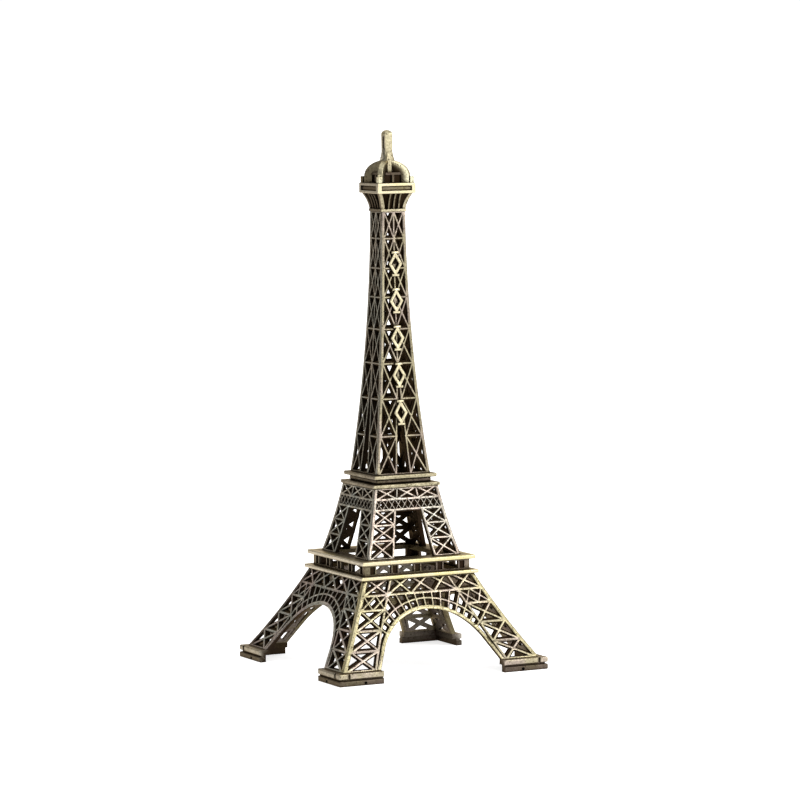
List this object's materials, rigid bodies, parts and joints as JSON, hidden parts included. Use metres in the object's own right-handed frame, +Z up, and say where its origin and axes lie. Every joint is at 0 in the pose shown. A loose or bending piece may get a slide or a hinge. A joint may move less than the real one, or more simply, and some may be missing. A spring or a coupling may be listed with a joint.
{
  "type": "miniature lattice tower",
  "caption": "Miniature four-legged lattice tower ornament with arched base, two platforms, tapering shaft and small cupola.",
  "frame": {"origin": "middle of the base, at the underside of the feet", "axes": "+Z up along the tower's axis; -Y is the front, which carries the raised ornaments"},
  "size_m": [0.0562, 0.0562, 0.13],
  "materials": {
    "foot_bronze": "antique bronze, dark in the grooves, rubbed bright on the upper moulding",
    "lattice_bronze": "antique bronze lattice, outer faces rubbed pale, sides nearly black",
    "frame_bronze": "antique bronze, edges rubbed to pale gold with small dark pits",
    "dark_bronze": "dark brown-black patina with rubbed edges",
    "cupola_bronze": "antique bronze, grey-gold and worn smooth",
    "ornament_bronze": "rubbed pale gold with dark sides"
  },
  "bodies": {
    "root": {"plinth_front": "foot_bronze", "plinth_right": "foot_bronze", "plinth_back": "foot_bronze", "plinth_left": "foot_bronze", "base_arch_front": "lattice_bronze", "base_arch_right": "lattice_bronze", "base_arch_back": "lattice_bronze", "base_arch_left": "lattice_bronze", "lower_flange": "frame_bronze", "gallery_posts": "dark_bronze", "upper_deck": "frame_bronze", "middle_panel_front": "lattice_bronze", "middle_panel_right": "lattice_bronze", "middle_panel_back": "lattice_bronze", "middle_panel_left": "lattice_bronze", "platform_lower_plate": "frame_bronze", "platform_band": "dark_bronze", "platform_upper_plate": "frame_bronze", "shaft_panel_front": "lattice_bronze", "shaft_panel_right": "lattice_bronze", "shaft_panel_back": "lattice_bronze", "shaft_panel_left": "lattice_bronze", "capital": "dark_bronze", "crown_gallery": "frame_bronze", "cupola_rib_lower": "cupola_bronze", "cupola_rib_upper": "cupola_bronze", "lantern_house": "dark_bronze", "finial": "cupola_bronze", "ornament_1": "ornament_bronze", "ornament_2": "ornament_bronze", "ornament_3": "ornament_bronze", "ornament_4": "ornament_bronze", "ornament_5": "ornament_bronze"}
  },
  "joints": []
}
